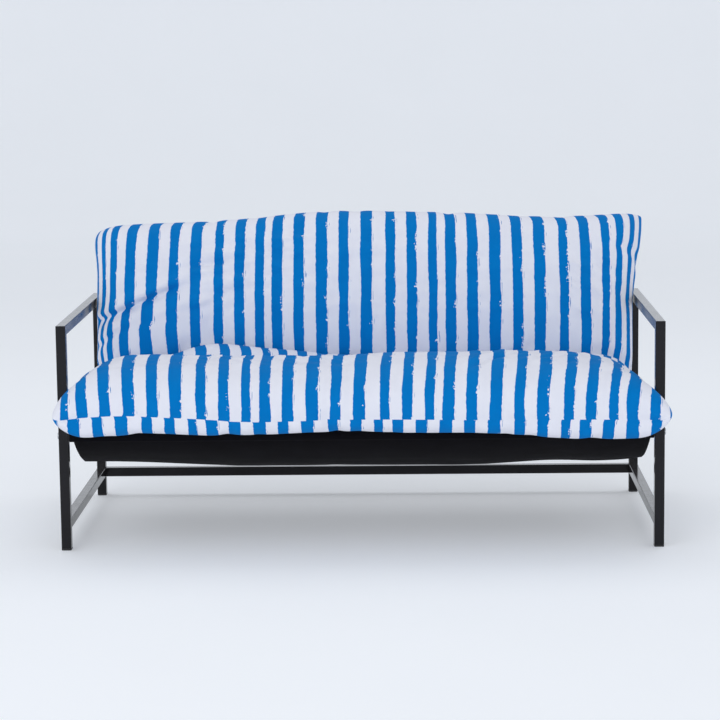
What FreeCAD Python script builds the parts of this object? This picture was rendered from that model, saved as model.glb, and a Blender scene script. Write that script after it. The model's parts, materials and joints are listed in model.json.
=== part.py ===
"""A two-seat futon sofa bed on a slim square-tube frame.

Two welded side frames carry a front rail, a rear seat rail and a rear stretcher. A canvas sling
hangs between the two seat rails. The back frame turns on two pivot bolts, is clamped at any angle
by a quadrant plate and a hand knob on each side, and lies level with the seat as a bed. A bail
folded against its rear face then stands on the floor. One soft mattress covers seat and back.

Millimetres. +X is to the right of someone facing the sofa, +Y is towards its back, +Z is up.
Y is drawn from the front faces of the front legs, and everything is moved to its final origin,
on the floor under the middle of the sofa's box, when it is written.
"""

import FreeCAD, Part

import math
import os

# ---- driving dimensions ----
FRAME_WIDTH = 1540.0  # over the outer faces of the side frames
FRAME_DEPTH = 740.0  # front face of the front legs to rear face of the rear legs
ARM_HEIGHT = 580.0
TUBE = 25.0  # square tube, outside
WALL = 1.5
TUBE_CORNER = 2.0
FOOT_PLATE = 5.0  # glide under each leg
LOW_RAIL_BOTTOM = 55.0  # underside of the lower side rails and the rear stretcher
SEAT_RAIL_TOP = 309.0  # top of every rail at seat level
REAR_SEAT_RAIL_Y = 550.0  # front face of the rear seat rail

PIVOT_Y = 600.0  # axis that the back turns on
BACK_RAISE = 70.0  # degrees from lying flat to sitting upright
BACK_LENGTH = 445.0  # pivot axis to the top of the back frame
BACK_RAIL_START = 22.0  # pivot axis to the near face of the back's lower rail

QUADRANT_RADIUS = 80.0  # pivot axis to clamp stud
PLATE = 4.0  # hinge plates
RUNNING_GAP = 0.3  # between flat faces that slide past each other

PROP_AXIS_S = 420.0  # bail pivot, along the back frame from the main pivot
PROP_DROP = 12.0  # bail pivot behind the back frame's rear face
PROP_TUBE = 16.0

CLOTH = 2.0  # sling canvas, sewn double
CLOTH_GAP = 0.3  # canvas to rail
SLING_HALF = 735.0
SLING_BELLY_Z = 165.0  # lowest point of the seat sling
BACK_SLING_CLEAR = 3.0  # its side edge to the back uprights

MATTRESS_FRONT = -112.0
MATTRESS_BODY_HALF = 734.0  # where it lies between the side frames, clear of the hinges
MATTRESS_LIP_HALF = 776.0  # where it spreads in front of the front legs
MATTRESS_SHOULDER_HALF = 768.0  # where it spreads above the arms
MATTRESS_COVER = 3.0  # cover and its seams
MATTRESS_FILLING = 8.0  # wall of the filling; a sealed void inside it stands for loose fibre
MATTRESS_CLEAR = 4.0  # from whatever it rests on
FILLING_GAP = 0.5  # cover to filling
FOLD_CLEAR = 0.4  # degrees each side of the fold, between the two halves

PLUG_LENGTH = 20.0  # of a cross rail's end plug
PLUG_CORNER = 1.0
PLUG_FIT = 0.05  # cross rail's plug to the tube, on each face
PUSH_FIT = 0.1  # moulded plugs to the tube, on each face
FOOT_PLUG = 14.0  # how far a glide goes into its leg
FOOT_CHAMFER = 1.2
CUT = 1.0  # how far a cutting tool reaches past the face it cuts

BOLT_R = 4.0
BOLT_HEAD = (8.5, 3.0)  # radius and thickness
BOLT_REACH = 18.0  # past the side tube, into the rail's end plug
PIVOT_BOLT_R = 5.0
PIVOT_BOLT_HEAD = (9.5, 4.0)
PIVOT_BOLT_PROUD = 2.0  # past the nut
SCREW_R = 3.0
SCREW_HEAD = (5.5, 2.5)
HEAD_CHAMFER = 0.8
SOCKET_SHARE, SOCKET_DEPTH = 0.62, 2.2  # hexagon socket: share of the shank's radius, depth

NUT_CORNER_R, NUT_LENGTH = 9.2, 8.0
NUT_WASHER_R, WASHER = 10.5, 1.5
PAD = 0.7  # friction washers and pads
PIVOT_PAD_R, STUD_PAD_R, KNOB_WASHER_R = 15.0, 12.0, 11.0

STUD_R = 4.0
STUD_HEAD_R, STUD_HEAD, STUD_HEAD_ROUND = 9.0, 3.5, 2.4
STUD_SHORT = 4.0  # the stud ends this far inside the outer face of the side frame
KNOB_HUB_R, KNOB_LOBES, KNOB_LOBE_R, KNOB_LOBE_AT = 14.5, 5, 7.0, 13.5
KNOB_COLLAR_R, KNOB_COLLAR, KNOB_GRIP_START, KNOB_GRIP, KNOB_ROUND = 9.0, 6.0, 5.0, 16.0, 2.0

RIVET_HEAD_R, RIVET_HEAD, RIVET_TAIL = 5.0, 0.6, 6.0
END_CAP = 3.0  # closes the near end of a back upright
END_CAP_PLUG = 4.0

PROP_LEG_SOLID = 14.0  # the bail leg isn't hollow round its pin
PROP_FOOT_AT = (60.0, 260.0)  # outer pad's and inner pad's inner ends, from the bail leg's axis
PROP_FOOT_LENGTH = 40.0
LUG, LUG_R = 3.0, 9.5
PIN_HEAD_R, PIN_HEAD = 6.0, 2.5

SLEEVE_CORNER = 4.0  # of the canvas sewn round a rail, outside

# ---- worked out ----
HALF = FRAME_WIDTH / 2
INNER = HALF - TUBE  # inner face of a side frame
SEAT_RAIL_BOTTOM = SEAT_RAIL_TOP - TUBE
PIVOT_Z = SEAT_RAIL_TOP - TUBE / 2
REAR_LEG_Y = FRAME_DEPTH - TUBE
FOLD = (180.0 - BACK_RAISE) / 2  # half the angle between seat and back
BRACKET_X = INNER - PLATE
PLATE_X = BRACKET_X - PAD - RUNNING_GAP - PLATE  # inner face of the quadrant plate
UPRIGHT_X = PLATE_X - TUBE  # inner face of a back upright
STUD_Z = PIVOT_Z - QUADRANT_RADIUS

V = FreeCAD.Vector
X, Y, Z = V(1, 0, 0), V(0, 1, 0), V(0, 0, 1)
AXES = {"x": X, "y": Y, "z": Z}
PARTS = {}


# ---- helpers ----
def box(low, high):
    return Part.makeBox(high[0] - low[0], high[1] - low[1], high[2] - low[2], V(*low))


def bar(low, high, axis, corner):
    """A box with its edges along one axis rounded."""
    solid = box(low, high)
    long_edges = [
        e for e in solid.Edges if abs(e.tangentAt(e.FirstParameter).dot(AXES[axis])) > 0.99
    ]
    return solid.makeFillet(corner, long_edges)


def tube(low, high, axis):
    """A length of square tube, open at both ends."""
    k = "xyz".index(axis)
    inner_low, inner_high = list(low), list(high)
    for i in range(3):
        inset = -1.0 if i == k else WALL
        inner_low[i] += inset
        inner_high[i] -= inset
    return bar(low, high, axis, TUBE_CORNER).cut(
        bar(inner_low, inner_high, axis, TUBE_CORNER - WALL)
    )


def cylinder(radius, start, length, axis):
    return Part.makeCylinder(radius, length, V(*start), AXES[axis])


def plate_yz(edges, x, thickness):
    """A flat plate of that outline in the YZ plane, from x towards +X."""
    face = Part.Face(Part.Wire(Part.__sortEdges__(edges)))
    plate = face.extrude(V(thickness, 0, 0))
    plate.translate(V(x, 0, 0))
    return plate


def polygon_edges(points):
    """Straight edges through (y, z) points, closed."""
    corners = [V(0, *p) for p in points]
    return [
        Part.LineSegment(a, b).toShape() for a, b in zip(corners, corners[1:] + corners[:1])
    ]


def keep_side(shape, point, normal):
    """What is left of a shape on the side of a plane that the normal points away from."""
    size = 2500.0
    block = Part.makeBox(size, size, size, V(-size / 2, -size / 2, 0))
    turn = FreeCAD.Rotation(Z, V(*normal))
    block.Placement = FreeCAD.Placement(V(*point), turn)
    return shape.cut(block)


def left_of(shape):
    return shape.mirror(V(0, 0, 0), X)


def add(name, *shapes):
    PARTS[name] = shapes[0] if len(shapes) == 1 else Part.makeCompound(shapes)


def add_pair(name, right):
    """One part on each side; the left one is the right one's mirror image."""
    add("left_" + name, left_of(right))
    add("right_" + name, right)


def both(shapes):
    """Right-hand shapes and their mirror images, for a node that holds both sides."""
    return [left_of(s) for s in shapes] + list(shapes)


def raise_back(shape, degrees=BACK_RAISE):
    """From lying flat, where the back is drawn, to where it sits."""
    turned = shape.copy()
    turned.rotate(V(0, PIVOT_Y, PIVOT_Z), X, degrees)
    return turned


# ---- side frames ----
def drilled(shape, radius, y, z):
    """The side tube with a hole through both walls, along X."""
    return shape.cut(cylinder(radius, (INNER - CUT, y, z), TUBE + 2 * CUT, "x"))


BOLT_HOLE_R = BOLT_R + 0.25
PIVOT_HOLE_R = PIVOT_BOLT_R + 0.05
SCREW_HOLE_R = SCREW_R + 0.1
BRACKET_SCREWS = (-15.0, 24.0)  # along the side rail, from the pivot
BRACKET_FRONT = 23.0  # pivot to the bracket's front edge, just behind the rear seat rail
BRACKET_SCREW_ROOM = 11.0  # bracket left past the rear screw
BRACKET_FOOT_R = 17.0  # rounded lower end, about the clamp stud
BRACKET_TOP = TUBE / 2 - 1.0  # pivot to the bracket's top edge

RAIL_BOLTS = [  # (y, z) of the cross rail's centre behind each bolt
    (TUBE / 2, PIVOT_Z),
    (REAR_SEAT_RAIL_Y + TUBE / 2, PIVOT_Z),
    (REAR_LEG_Y + TUBE / 2, LOW_RAIL_BOTTOM + TUBE / 2),
]


def side_frames():
    front_corner, rear_corner = (0, 0, ARM_HEIGHT), (0, FRAME_DEPTH, ARM_HEIGHT)
    front_leg = tube((INNER, 0, FOOT_PLATE), (HALF, TUBE, ARM_HEIGHT), "z")
    front_leg = keep_side(front_leg, front_corner, (0, 1, 1))
    add_pair("front_leg", drilled(front_leg, BOLT_HOLE_R, *RAIL_BOLTS[0]))

    rear_leg = tube((INNER, REAR_LEG_Y, FOOT_PLATE), (HALF, FRAME_DEPTH, ARM_HEIGHT), "z")
    rear_leg = keep_side(rear_leg, rear_corner, (0, -1, 1))
    add_pair("rear_leg", drilled(rear_leg, BOLT_HOLE_R, *RAIL_BOLTS[2]))

    arm = tube((INNER, 0, ARM_HEIGHT - TUBE), (HALF, FRAME_DEPTH, ARM_HEIGHT), "y")
    arm = keep_side(arm, front_corner, (0, -1, -1))
    add_pair("arm_rail", keep_side(arm, rear_corner, (0, 1, -1)))

    lower = tube(
        (INNER, TUBE, LOW_RAIL_BOTTOM), (HALF, REAR_LEG_Y, LOW_RAIL_BOTTOM + TUBE), "y"
    )
    add_pair("lower_side_rail", lower)

    seat = tube((INNER, TUBE, SEAT_RAIL_BOTTOM), (HALF, REAR_LEG_Y, SEAT_RAIL_TOP), "y")
    seat = drilled(seat, BOLT_HOLE_R, *RAIL_BOLTS[1])
    seat = drilled(seat, PIVOT_HOLE_R, PIVOT_Y, PIVOT_Z)
    for reach in BRACKET_SCREWS:
        seat = drilled(seat, SCREW_HOLE_R, PIVOT_Y + reach, PIVOT_Z)
    add_pair("seat_side_rail", seat)


def glide(y):
    """A plastic foot pushed into the end of a leg."""
    foot = bar((INNER, y, 0), (HALF, y + TUBE, FOOT_PLATE), "z", TUBE_CORNER)
    foot = foot.makeChamfer(FOOT_CHAMFER, [e for e in foot.Edges if e.BoundBox.ZMax < 0.01])
    fit = WALL + PUSH_FIT
    low = (INNER + fit, y + fit, FOOT_PLATE)
    high = (HALF - fit, y + TUBE - fit, FOOT_PLATE + FOOT_PLUG)
    plug = bar(low, high, "z", PLUG_CORNER)
    return foot.fuse(plug).removeSplitter()


# ---- cross rails and their bolts ----
def cross_rails():
    spans = {
        "front_seat_rail": (0, SEAT_RAIL_BOTTOM),
        "rear_seat_rail": (REAR_SEAT_RAIL_Y, SEAT_RAIL_BOTTOM),
        "rear_stretcher": (REAR_LEG_Y, LOW_RAIL_BOTTOM),
    }
    for name, (y, z) in spans.items():
        add(name, tube((-INNER, y, z), (INNER, y + TUBE, z + TUBE), "x"))

    plugs, bolts = [], []
    reach = TUBE / 2 - WALL - PLUG_FIT
    for y, z in RAIL_BOLTS:
        low, high = (INNER - PLUG_LENGTH, y - reach, z - reach), (INNER, y + reach, z + reach)
        plug = bar(low, high, "x", PLUG_CORNER)
        bore = cylinder(BOLT_R + 0.05, (low[0] - CUT, y, z), PLUG_LENGTH + 2 * CUT, "x")
        plugs.append(plug.cut(bore))
        bolts.append(connector_bolt(BOLT_R, *BOLT_HEAD, y, z, TUBE + BOLT_REACH))
    add("rail_end_plugs", *both(plugs))
    add("frame_bolts", *both(bolts))


def connector_bolt(shank, head, thick, y, z, length):
    """A flat-headed bolt with a hexagon socket, driven in from the outer face of a side frame."""
    bolt = cylinder(head, (HALF, y, z), thick, "x")
    rim = [e for e in bolt.Edges if e.BoundBox.XMin > HALF + thick - 0.01]
    bolt = bolt.makeChamfer(HEAD_CHAMFER, rim)
    bolt = bolt.fuse(cylinder(shank, (HALF - length, y, z), length, "x"))
    socket = hexagon(shank * SOCKET_SHARE, HALF + thick - SOCKET_DEPTH, SOCKET_DEPTH + CUT, y, z)
    return bolt.cut(socket).removeSplitter()


def hexagon(corner_r, x, length, y, z):
    corners = [
        (y + corner_r * math.cos(a), z + corner_r * math.sin(a))
        for a in (math.radians(60 * i) for i in range(6))
    ]
    return plate_yz(polygon_edges(corners), x, length)


# ---- hinge: bracket on the side frame, quadrant plate on the back ----
SLOT_R = STUD_R + 0.35
QUADRANT_EDGE = 12.0  # slot's middle line to the plate's outer edge
QUADRANT_INSIDE = 14.0  # slot's middle line to the ring's inner edge
QUADRANT_ARM, QUADRANT_ARM_END, QUADRANT_HUB_R = 22.0, 74.0, 15.0
WEB_FROM = 217.0  # degrees; the web stops short so that the ring alone reaches past the rail
SLOT_END_MARGIN = 10.0  # degrees of plate past each end of the slot
SLOT_FROM = 180.0 + (90.0 - BACK_RAISE)  # degrees about the pivot, from the lying back's length
SLOT_TO = 270.0
BUSH_R = 6.5
QUADRANT_SCREWS = (34.0, 60.0)  # rivets along the upright, from the pivot


def hinge_fixed():
    """Bracket, pivot bolt, clamp stud and their washers, which stay with the side frame."""
    y, z = PIVOT_Y, PIVOT_Z
    foot_r, top, low = BRACKET_FOOT_R, BRACKET_TOP, -QUADRANT_RADIUS
    front, rear = -BRACKET_FRONT, BRACKET_SCREWS[1] + BRACKET_SCREW_ROOM
    outline = [
        (front, top),
        (rear, top),
        (rear, -top),
        (foot_r, low),
        (-foot_r, low),
        (front, -top),
    ]
    plate = plate_yz(polygon_edges([(y + a, z + b) for a, b in outline]), BRACKET_X, PLATE)
    plate = plate.fuse(cylinder(foot_r, (BRACKET_X, y, STUD_Z), PLATE, "x")).removeSplitter()
    bite, deep = BRACKET_X - CUT, PLATE + 2 * CUT
    plate = plate.cut(cylinder(PIVOT_HOLE_R, (bite, y, z), deep, "x"))
    neck = STUD_R + 0.1
    plate = plate.cut(
        box((bite, y - neck, STUD_Z - neck), (INNER + CUT, y + neck, STUD_Z + neck))
    )
    screws = []
    for reach in BRACKET_SCREWS:
        plate = plate.cut(cylinder(SCREW_HOLE_R, (bite, y + reach, z), deep, "x"))
        screws.append(connector_bolt(SCREW_R, *SCREW_HEAD, y + reach, z, TUBE + PLATE))
    add_pair("hinge_bracket", plate)
    add("bracket_screws", *both(screws))

    nut_x = UPRIGHT_X - RUNNING_GAP - WASHER - NUT_LENGTH
    length = HALF - nut_x + PIVOT_BOLT_PROUD
    add_pair("pivot_bolt", connector_bolt(PIVOT_BOLT_R, *PIVOT_BOLT_HEAD, y, z, length))
    nut = hexagon(NUT_CORNER_R, nut_x, NUT_LENGTH, y, z)
    nut = nut.cut(cylinder(PIVOT_HOLE_R, (nut_x - CUT, y, z), NUT_LENGTH + 2 * CUT, "x"))
    add("pivot_nuts", *both([nut]))
    washers = [
        ring(NUT_WASHER_R, PIVOT_HOLE_R, nut_x + NUT_LENGTH, WASHER, y, z),
        ring(PIVOT_PAD_R, PIVOT_HOLE_R, BRACKET_X - PAD, PAD, y, z),
    ]
    add("pivot_washers", *both(washers))

    head_x = PLATE_X - RUNNING_GAP
    stud = cylinder(STUD_HEAD_R, (head_x - STUD_HEAD, y, STUD_Z), STUD_HEAD, "x")
    rim = [e for e in stud.Edges if e.BoundBox.XMax < head_x - STUD_HEAD + 0.1]
    stud = stud.makeFillet(STUD_HEAD_ROUND, rim)
    stud = stud.fuse(cylinder(STUD_R, (head_x, y, STUD_Z), HALF - head_x - STUD_SHORT, "x"))
    square = box((BRACKET_X, y - STUD_R, STUD_Z - STUD_R), (INNER, y + STUD_R, STUD_Z + STUD_R))
    add_pair("clamp_stud", stud.fuse(square).removeSplitter())
    pads = [
        ring(STUD_PAD_R, STUD_R + 0.1, BRACKET_X - PAD, PAD, y, STUD_Z),
        ring(KNOB_WASHER_R, STUD_R + 0.1, INNER, WASHER, y, STUD_Z),
    ]
    add("clamp_washers", *both(pads))


def ring(outer, inner, x, thick, y, z):
    bore = cylinder(inner, (x - CUT, y, z), thick + 2 * CUT, "x")
    return cylinder(outer, (x, y, z), thick, "x").cut(bore)


def clamp_knob():
    """A five-lobed hand knob that screws onto the clamp stud."""
    y, z = PIVOT_Y, STUD_Z
    start = INNER + WASHER + RUNNING_GAP
    near = start + KNOB_GRIP_START
    far = near + KNOB_GRIP
    knob = cylinder(KNOB_HUB_R, (near, y, z), KNOB_GRIP, "x")
    for i in range(KNOB_LOBES):
        a = math.radians(90 + 360 / KNOB_LOBES * i)
        at = (near, y + KNOB_LOBE_AT * math.cos(a), z + KNOB_LOBE_AT * math.sin(a))
        knob = knob.fuse(cylinder(KNOB_LOBE_R, at, KNOB_GRIP, "x"))
    knob = knob.removeSplitter()
    near_rim = [e for e in knob.Edges if e.BoundBox.XMax < near + 0.01]
    far_rim = [e for e in knob.Edges if e.BoundBox.XMin > far - 0.01]
    knob = knob.makeFillet(KNOB_ROUND, near_rim + far_rim)
    collar = cylinder(KNOB_COLLAR_R, (start, y, z), KNOB_COLLAR, "x")
    knob = knob.fuse(collar).removeSplitter()
    bore_end = HALF - STUD_SHORT + CUT
    return knob.cut(cylinder(STUD_R + 0.06, (start - CUT, y, z), bore_end - start + CUT, "x"))


def polar(radius, degrees):
    """A point at that radius and angle about the pivot axis, at x = 0."""
    turn = math.radians(degrees)
    return V(0, PIVOT_Y + radius * math.cos(turn), PIVOT_Z + radius * math.sin(turn))


def arc_about_pivot(radius, start, end):
    points = [polar(radius, a) for a in (start, (start + end) / 2, end)]
    return Part.Arc(*points).toShape()


def ring_sector(inner, outer, start, end, x, thickness):
    """A stretch of a flat ring about the pivot axis, or of a disc if inner is 0."""
    edges = [arc_about_pivot(outer, start, end)]
    for angle in (start, end):
        edges.append(Part.LineSegment(polar(inner, angle), polar(outer, angle)).toShape())
    if inner:
        edges.append(arc_about_pivot(inner, start, end))
    return plate_yz(edges, x, thickness)


def quadrant_plate():
    """Turns with the back: a slot round the pivot runs over the clamp stud."""
    y, z = PIVOT_Y, PIVOT_Z
    start, end = SLOT_FROM - SLOT_END_MARGIN, SLOT_TO + SLOT_END_MARGIN
    inner, outer = QUADRANT_RADIUS - QUADRANT_INSIDE, QUADRANT_RADIUS + QUADRANT_EDGE
    arm = box(
        (PLATE_X, y, z - QUADRANT_ARM / 2),
        (PLATE_X + PLATE, y + QUADRANT_ARM_END, z + QUADRANT_ARM / 2),
    )
    web = ring_sector(0, outer, WEB_FROM, end, PLATE_X, PLATE)
    plate = ring_sector(inner, outer, start, end, PLATE_X, PLATE)
    plate = plate.fuse([web, arm, cylinder(QUADRANT_HUB_R, (PLATE_X, y, z), PLATE, "x")])
    plate = plate.removeSplitter()

    bite, deep = PLATE_X - CUT, PLATE + 2 * CUT
    plate = plate.cut(
        ring_sector(
            QUADRANT_RADIUS - SLOT_R, QUADRANT_RADIUS + SLOT_R, SLOT_FROM, SLOT_TO, bite, deep
        )
    )
    for angle in (SLOT_FROM, SLOT_TO):
        slot_end = polar(QUADRANT_RADIUS, angle)
        plate = plate.cut(cylinder(SLOT_R, (bite, slot_end.y, slot_end.z), deep, "x"))
    plate = plate.cut(cylinder(BUSH_R, (bite, y, z), deep, "x"))
    for s in QUADRANT_SCREWS:
        plate = plate.cut(cylinder(SCREW_HOLE_R, (bite, y + s, z), deep, "x"))
    return plate.removeSplitter()


# ---- back frame, drawn lying flat ----
def back_frame():
    low, high = PIVOT_Z - TUBE / 2, PIVOT_Z + TUBE / 2
    top, start = PIVOT_Y + BACK_LENGTH, PIVOT_Y - TUBE / 2
    upright = tube((UPRIGHT_X, start, low), (UPRIGHT_X + TUBE, top, high), "y")
    upright = keep_side(upright, (UPRIGHT_X + TUBE, top, 0), (-1, 1, 0))
    bore = cylinder(BUSH_R, (UPRIGHT_X - CUT, PIVOT_Y, PIVOT_Z), TUBE + 2 * CUT, "x")
    upright = upright.cut(bore)
    screws = []
    for s in QUADRANT_SCREWS:
        y = PIVOT_Y + s
        upright = upright.cut(
            cylinder(SCREW_HOLE_R, (UPRIGHT_X + TUBE / 2, y, PIVOT_Z), TUBE, "x")
        )
        screw = cylinder(RIVET_HEAD_R, (PLATE_X + PLATE, y, PIVOT_Z), RIVET_HEAD, "x")
        tail = (PLATE_X - RIVET_TAIL, y, PIVOT_Z)
        shank = cylinder(SCREW_R, tail, PLATE + RIVET_TAIL, "x")
        screws.append(screw.fuse(shank).removeSplitter())
    add_pair("back_upright", raise_back(upright))
    add("quadrant_rivets", *[raise_back(s) for s in both(screws)])
    add_pair("quadrant_plate", raise_back(quadrant_plate()))

    outer = UPRIGHT_X + TUBE
    rail = tube((-outer, top - TUBE, low), (outer, top, high), "x")
    for side in (-1, 1):
        rail = keep_side(rail, (side * outer, top, 0), (side, -1, 0))
    add("back_top_rail", raise_back(rail))
    near = PIVOT_Y + BACK_RAIL_START
    add(
        "back_lower_rail",
        raise_back(tube((-UPRIGHT_X, near, low), (UPRIGHT_X, near + TUBE, high), "x")),
    )

    fit = 0.02
    bush = ring(BUSH_R - fit, PIVOT_HOLE_R, UPRIGHT_X, TUBE + PLATE, PIVOT_Y, PIVOT_Z)
    add("pivot_bushes", *[raise_back(s) for s in both([bush])])

    cap = bar((UPRIGHT_X, start - END_CAP, low), (outer, start, high), "y", TUBE_CORNER)
    inset = WALL + PUSH_FIT
    plug_low = (UPRIGHT_X + inset, start, low + inset)
    plug_high = (outer - inset, start + END_CAP_PLUG, high - inset)
    plug = bar(plug_low, plug_high, "y", PLUG_CORNER)
    add("upright_end_caps", *[raise_back(s) for s in both([cap.fuse(plug).removeSplitter()])])


# ---- bail: folded along the back's rear face, stands on the floor under the bed ----
PROP_R = PROP_TUBE / 2
PROP_Y = PIVOT_Y + PROP_AXIS_S
PROP_Z = PIVOT_Z - TUBE / 2 - PROP_DROP
PROP_X = UPRIGHT_X + TUBE / 2
PROP_PIN_R = 4.0
PROP_FOOT_R = 10.0
PROP_BAR_REACH = PROP_Z - PROP_FOOT_R  # pivot to foot bar, so that the feet meet the floor


def prop_bail():
    bar_y = PROP_Y - PROP_BAR_REACH
    solid_bar = cylinder(PROP_R, (-PROP_X - PROP_R, bar_y, PROP_Z), 2 * (PROP_X + PROP_R), "x")
    end_x = PROP_X + PROP_R + CUT
    bore = cylinder(PROP_R - WALL, (-end_x, bar_y, PROP_Z), 2 * end_x, "x")
    add("prop_foot_bar", raise_back(solid_bar.cut(bore)))

    leg = cylinder(PROP_R, (PROP_X, bar_y, PROP_Z), PROP_BAR_REACH, "y")
    leg = leg.fuse(Part.makeSphere(PROP_R, V(PROP_X, PROP_Y, PROP_Z))).removeSplitter()
    hollow_length = PROP_BAR_REACH - PROP_LEG_SOLID
    hollow = cylinder(PROP_R - WALL, (PROP_X, bar_y, PROP_Z), hollow_length, "y")
    leg = leg.cut([hollow, solid_bar])
    leg = leg.cut(cylinder(PROP_PIN_R + 0.05, (UPRIGHT_X, PROP_Y, PROP_Z), TUBE, "x"))
    add_pair("prop_leg", raise_back(leg))

    feet = []
    for reach in PROP_FOOT_AT:
        x = PROP_X - reach
        feet.append(ring(PROP_FOOT_R, PROP_R + 0.02, x, PROP_FOOT_LENGTH, bar_y, PROP_Z))
    add("prop_rubber_feet", *[raise_back(f) for f in both(feet)])

    rear = PIVOT_Z - TUBE / 2
    lugs = []
    for x in (UPRIGHT_X, UPRIGHT_X + TUBE - LUG):
        block = box((x, PROP_Y - LUG_R, PROP_Z), (x + LUG, PROP_Y + LUG_R, rear))
        rounded = block.fuse(cylinder(LUG_R, (x, PROP_Y, PROP_Z), LUG, "x"))
        hole = cylinder(PROP_PIN_R + 0.02, (x - CUT, PROP_Y, PROP_Z), LUG + 2 * CUT, "x")
        lugs.append(rounded.removeSplitter().cut(hole))
    add("prop_lugs", *[raise_back(s) for s in both(lugs)])

    pin = cylinder(PROP_PIN_R, (UPRIGHT_X, PROP_Y, PROP_Z), TUBE, "x")
    for x in (UPRIGHT_X - PIN_HEAD, UPRIGHT_X + TUBE):
        pin = pin.fuse(cylinder(PIN_HEAD_R, (x, PROP_Y, PROP_Z), PIN_HEAD, "x"))
    add("prop_pins", *[raise_back(s) for s in both([pin.removeSplitter()])])


# ---- slings ----
def sleeve(y, z, half_width):
    """Canvas sewn round a rail whose centre is at (y, z)."""
    inner = TUBE / 2 + CLOTH_GAP
    outer = inner + CLOTH
    low, high = (-half_width, y - outer, z - outer), (half_width, y + outer, z + outer)
    tight = bar(low, high, "x", SLEEVE_CORNER)
    low = (-half_width - CUT, y - inner, z - inner)
    high = (half_width + CUT, y + inner, z + inner)
    return tight.cut(bar(low, high, "x", SLEEVE_CORNER - CLOTH))


SLING_FRONT_Y = TUBE + CLOTH_GAP + CLOTH / 2
SLING_REAR_Y = REAR_SEAT_RAIL_Y - CLOTH_GAP - CLOTH / 2
SLING_EDGE_Z = SEAT_RAIL_TOP - 6.0  # where the hung sheet leaves the sleeves
BELLY_Y = (SLING_FRONT_Y + SLING_REAR_Y) / 2
BELLY_HALF = (SLING_REAR_Y - SLING_FRONT_Y) / 2
BELLY_SAG = SLING_EDGE_Z - SLING_BELLY_Z
BELLY_R = (BELLY_HALF**2 + BELLY_SAG**2) / (2 * BELLY_SAG)
BELLY_CENTRE_Z = SLING_BELLY_Z + BELLY_R


def belly_arc(radius, level):
    """The hung curve's arc at that radius, from the front to the rear at that level."""
    reach = math.sqrt(radius**2 - (BELLY_CENTRE_Z - level) ** 2)
    return Part.Arc(
        V(0, BELLY_Y - reach, level),
        V(0, BELLY_Y, BELLY_CENTRE_Z - radius),
        V(0, BELLY_Y + reach, level),
    ).toShape()


def segment(start, end):
    return Part.LineSegment(start, end).toShape()


def seat_sling():
    upper = belly_arc(BELLY_R - CLOTH / 2, SLING_EDGE_Z)
    lower = belly_arc(BELLY_R + CLOTH / 2, SLING_EDGE_Z)
    ends = [segment(upper.Vertexes[i].Point, lower.Vertexes[i].Point) for i in (0, 1)]
    edges = [upper, lower, *ends]
    sheet = plate_yz(edges, -SLING_HALF, 2 * SLING_HALF)
    front = sleeve(TUBE / 2, PIVOT_Z, SLING_HALF)
    rear = sleeve(REAR_SEAT_RAIL_Y + TUBE / 2, PIVOT_Z, SLING_HALF)
    add("seat_sling", front.fuse([sheet, rear]).removeSplitter())


def back_sling():
    half = UPRIGHT_X - BACK_SLING_CLEAR
    low_y = PIVOT_Y + BACK_RAIL_START + TUBE / 2
    top_y = PIVOT_Y + BACK_LENGTH - TUBE / 2
    level = PIVOT_Z + TUBE / 2 + CLOTH_GAP
    panel = box((-half, low_y, level), (half, top_y, level + CLOTH))
    canvas = sleeve(low_y, PIVOT_Z, half).fuse([panel, sleeve(top_y, PIVOT_Z, half)])
    add("back_sling", raise_back(canvas.removeSplitter()))


# ---- mattress: one soft piece, drawn as two halves that meet at the fold ----
CREASE_R = 170.0  # pivot axis to the crease between seat and back
SEAT_TOP_Z = 494.0
BACK_THICK = 192.0  # pivot axis to the front face of the back half
BACK_TOP = 508.0  # pivot axis to the mattress's top end
SHOULDER_FROM = 322.0  # where it spreads past the arms; outside the arc that clears the arms
FAR = 900.0  # past every edge of the mattress
LIP_BOTTOM = (-70.0, 303.0)  # (y, z) of the front roll's underside
ROLL_END = (100.0, SEAT_TOP_Z)  # where the front roll meets the flat top
FRONT_ROLL = (
    LIP_BOTTOM,
    (-98.0, 318.0),
    (MATTRESS_FRONT + 2, 345.0),
    (-104.0, 432.0),
    (-40.0, 480.0),
    (30.0, SEAT_TOP_Z - 2),
    ROLL_END,
)


def pillow(wire, inset, wide_half, wide_low, wide_high):
    """A profile drawn across the sofa, wider inside a box, with every face moved in by an inset."""
    face = Part.Face(wire.makeOffset2D(-inset) if inset else wire)

    def across(half_width):
        solid = face.extrude(V(2 * half_width, 0, 0))
        solid.translate(V(-half_width, 0, 0))
        return solid

    half = wide_half - inset
    low = (-half, wide_low[0] + inset, wide_low[1] + inset)
    high = (half, wide_high[0] - inset, wide_high[1] - inset)
    body = across(MATTRESS_BODY_HALF - inset)
    return body.fuse(across(half).common(box(low, high))).removeSplitter()


def soft_half(name, edges, wide_half, wide_low, wide_high, place):
    """Cover and filling of one half of the mattress, each a shell round a sealed space."""
    wire = Part.Wire(Part.__sortEdges__(edges))
    insets = [0, MATTRESS_COVER, MATTRESS_COVER + FILLING_GAP]
    insets.append(insets[2] + MATTRESS_FILLING)
    outer, lining, fill, void = [pillow(wire, i, wide_half, wide_low, wide_high) for i in insets]
    add(f"mattress_{name}_cover", place(outer.cut(lining)))
    add(f"mattress_{name}_filling", place(fill.cut(void)))


def arcs_through(points):
    """Three-point arcs through (y, z) points taken two at a time."""
    corners = [V(0, *p) for p in points]
    return [Part.Arc(*corners[i : i + 3]).toShape() for i in range(0, len(corners) - 2, 2)]


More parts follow.
